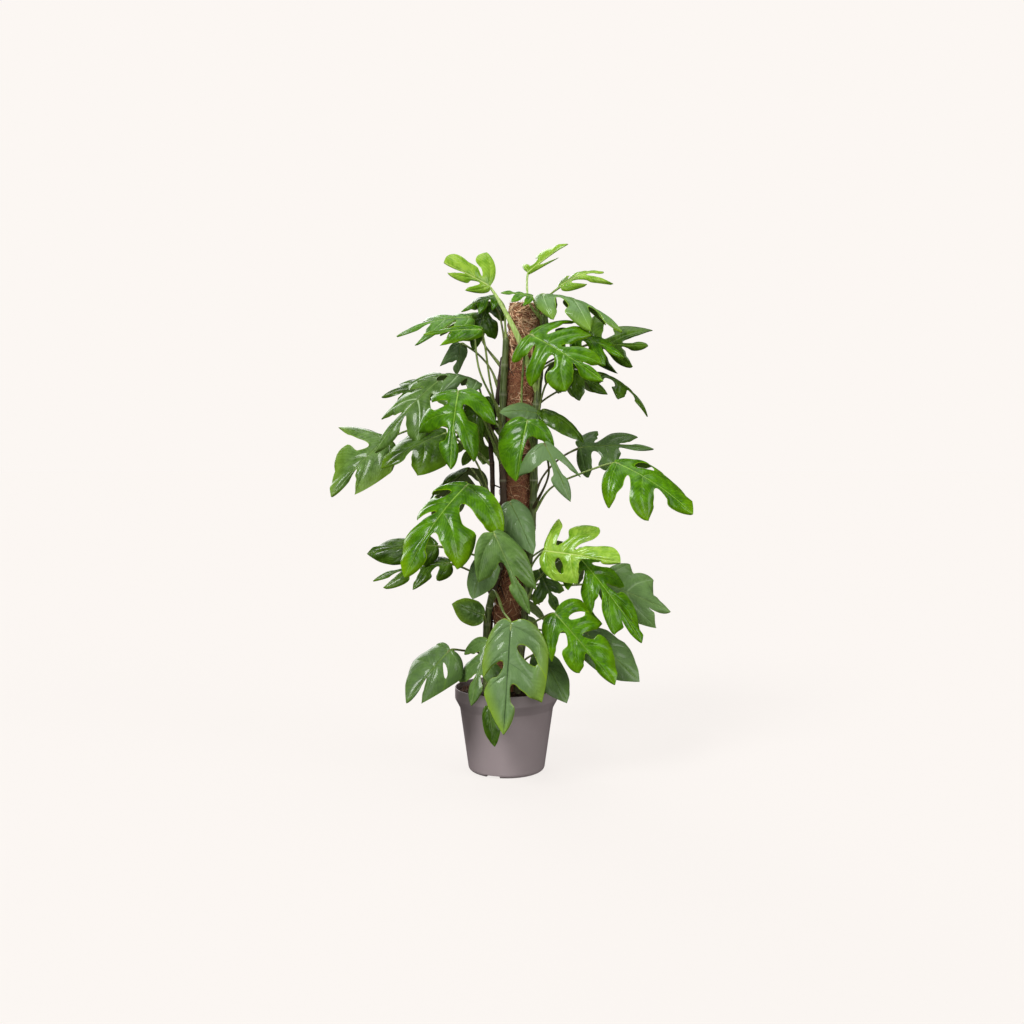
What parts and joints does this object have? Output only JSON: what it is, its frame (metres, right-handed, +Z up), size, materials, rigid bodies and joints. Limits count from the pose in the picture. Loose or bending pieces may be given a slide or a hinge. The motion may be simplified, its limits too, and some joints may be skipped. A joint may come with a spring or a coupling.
{
  "type": "potted climbing aroid",
  "caption": "Potted mini monstera: split-leaved climbing stems on a leaning coir pole, in a round plastic nursery pot of soil.",
  "frame": {"origin": "centre of the pot's flat base, where it rests on the floor", "axes": "+Z up; -Y towards the plant's front, where the leaves face; +X to the viewer's right"},
  "size_m": [0.6469, 0.4059, 0.9562],
  "materials": {
    "pot": "satin moulded plastic, grey-brown",
    "soil": "damp peat, matt",
    "coir": "coarse coconut fibre, matt",
    "core": "sawn stick, matt",
    "stem": "smooth green stem, satin",
    "old_stem": "dry brown stem, matt",
    "leaf_young": "young lime leaf, satin",
    "leaf_bright": "fresh green leaf, glossy",
    "leaf_mid": "blue-green leaf, satin",
    "leaf_dark": "dark green leaf, satin"
  },
  "bodies": {
    "root": {"pot": "pot", "soil": "soil", "coir_sleeve": "coir", "pole_core": "core", "stem_left": "stem", "stem_right": "stem", "stem_dark": "old_stem", "stem_back": "stem", "leaf_top_left_young": "leaf_young", "leaf_crown_right": "leaf_bright", "leaf_front_top": "leaf_bright", "leaf_right_top_dark": "leaf_dark", "leaf_left_far": "leaf_mid", "leaf_left_top_edge": "leaf_dark", "leaf_left_bright": "leaf_bright", "leaf_centre_bright": "leaf_bright", "leaf_centre_blue": "leaf_dark", "leaf_right_back_dark": "leaf_dark", "leaf_right_far": "leaf_bright", "leaf_mid_left_bright": "leaf_bright", "leaf_mid_left_behind": "leaf_dark", "leaf_mid_left_low": "leaf_dark", "leaf_mid_centre": "leaf_mid", "leaf_right_low_lime": "leaf_young", "leaf_right_low_gloss": "leaf_bright", "leaf_right_low_dull": "leaf_mid", "leaf_right_low_bright": "leaf_bright", "leaf_bottom_centre": "leaf_mid", "leaf_bottom_small": "leaf_dark", "leaf_bottom_left": "leaf_dark", "leaf_top_right_young": "leaf_young", "leaf_crown_right_back": "leaf_young", "leaf_right_top_mid": "leaf_bright", "leaf_right_top_low": "leaf_dark", "leaf_right_top_under": "leaf_dark", "leaf_crown_left": "leaf_bright", "leaf_crown_left_front": "leaf_bright", "leaf_crown_left_dark": "leaf_dark", "leaf_crown_left_arch": "leaf_bright", "leaf_back_left_grey": "leaf_mid", "leaf_left_stripe": "leaf_mid", "leaf_left_back_top": "leaf_dark", "leaf_left_inner_dark": "leaf_dark", "leaf_left_low_dark": "leaf_dark", "leaf_centre_top_dark": "leaf_dark", "leaf_centre_top_right": "leaf_dark", "leaf_mid_centre_grey": "leaf_dark", "leaf_low_left_olive": "leaf_mid", "leaf_right_low_dark": "leaf_dark", "leaf_right_low_back": "leaf_dark", "leaf_bottom_left_inner": "leaf_mid", "leaf_bottom_right": "leaf_dark", "leaf_crown_middle": "leaf_bright", "leaf_back_left_high": "leaf_mid", "leaf_back_right_high": "leaf_dark", "leaf_back_middle": "leaf_bright", "leaf_back_left_mid": "leaf_dark", "leaf_back_right_mid": "leaf_mid", "leaf_back_low": "leaf_mid", "leaf_mid_centre_low": "leaf_mid"}
  },
  "joints": []
}
